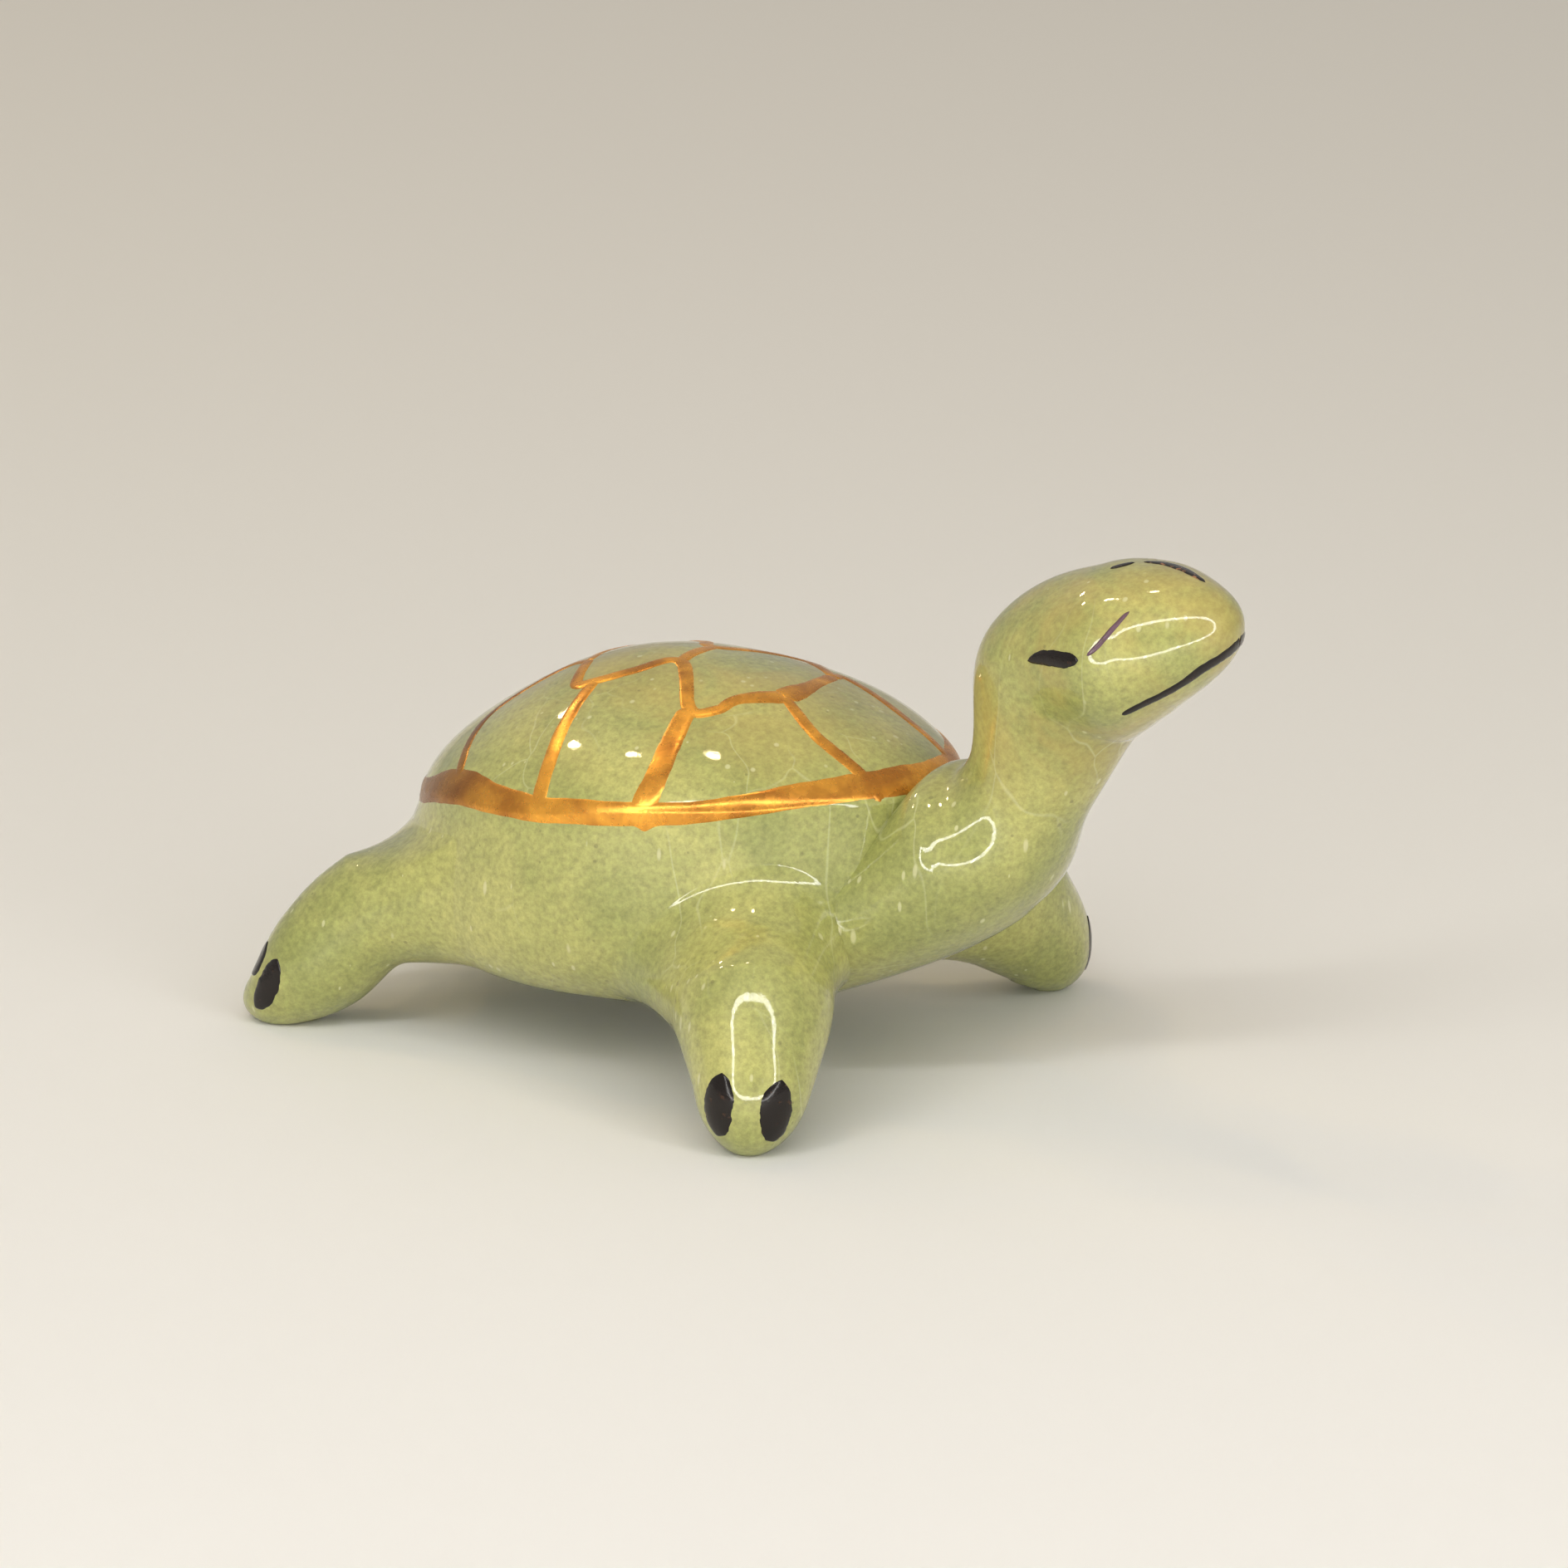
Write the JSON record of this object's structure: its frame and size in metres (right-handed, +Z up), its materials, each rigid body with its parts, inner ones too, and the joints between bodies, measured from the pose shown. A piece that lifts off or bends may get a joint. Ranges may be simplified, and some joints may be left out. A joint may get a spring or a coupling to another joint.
{
  "type": "turtle figurine",
  "caption": "Small walking turtle ornament in crackled olive-green glazed ceramic, its shell drawn with fired gold lines.",
  "frame": {"origin": "centre of the bounding box in plan, on the table plane that the four feet stand on", "axes": "+X forward to the head, +Y to the animal's left, +Z up from the table"},
  "size_m": [0.0497, 0.0326, 0.0271],
  "materials": {
    "celadon_glaze": "glossy crackled olive-green glaze over hollow stoneware",
    "gold_lustre": "fired gold lustre line, coppery brown to bright gold",
    "black_enamel": "glossy brown-black fired enamel"
  },
  "bodies": {
    "root": {"trunk": "celadon_glaze", "carapace": "celadon_glaze", "head_and_neck": "celadon_glaze", "front_right_leg": "celadon_glaze", "front_left_leg": "celadon_glaze", "rear_right_leg": "celadon_glaze", "rear_left_leg": "celadon_glaze", "tail": "celadon_glaze", "gold_rim_band": "gold_lustre", "gold_plate_line_right": "gold_lustre", "gold_plate_line_left": "gold_lustre", "gold_cross_line_front": "gold_lustre", "gold_cross_line_middle": "gold_lustre", "gold_cross_line_rear": "gold_lustre", "gold_rib_right_1": "gold_lustre", "gold_rib_right_2": "gold_lustre", "gold_rib_right_3": "gold_lustre", "gold_rib_right_4": "gold_lustre", "gold_rib_left_1": "gold_lustre", "gold_rib_left_2": "gold_lustre", "gold_rib_left_3": "gold_lustre", "gold_rib_left_4": "gold_lustre", "right_eye": "black_enamel", "right_eye_corner": "black_enamel", "left_eye": "black_enamel", "left_eye_corner": "black_enamel", "mouth_line_right": "black_enamel", "mouth_line_left": "black_enamel", "claw_front_right_1": "black_enamel", "claw_front_right_2": "black_enamel", "claw_front_left_1": "black_enamel", "claw_front_left_2": "black_enamel", "claw_rear_right_1": "black_enamel", "claw_rear_right_2": "black_enamel", "claw_rear_left_1": "black_enamel", "claw_rear_left_2": "black_enamel"}
  },
  "joints": []
}
